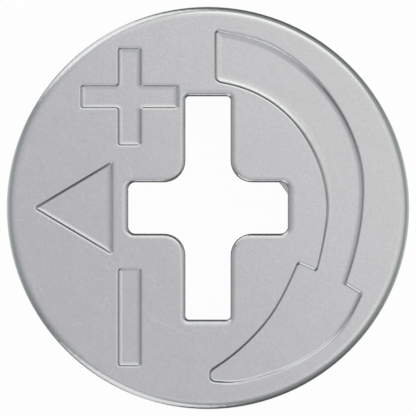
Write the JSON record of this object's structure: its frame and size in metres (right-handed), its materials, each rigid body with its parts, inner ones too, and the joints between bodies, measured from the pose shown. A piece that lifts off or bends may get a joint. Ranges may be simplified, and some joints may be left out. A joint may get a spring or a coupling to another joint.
{
  "type": "furniture cam lock",
  "caption": "Round die-cast cam for a knock-down furniture joint, with a cross recess and turning marks on its face, a doorway and neck slot in its side, and a spiral wall that draws a bolt in.",
  "frame": {"origin": "centre of the flat bottom rim that the cam stands on", "axes": "+Z out of the face, -X to the side where the bolt comes in, which the pointer shows, and +Y to the side of the plus mark"},
  "size_m": [0.0148, 0.0148, 0.0122],
  "materials": {
    "zinc": "satin, as cast and tumbled"
  },
  "bodies": {
    "root": {"cam": "zinc"}
  },
  "joints": []
}
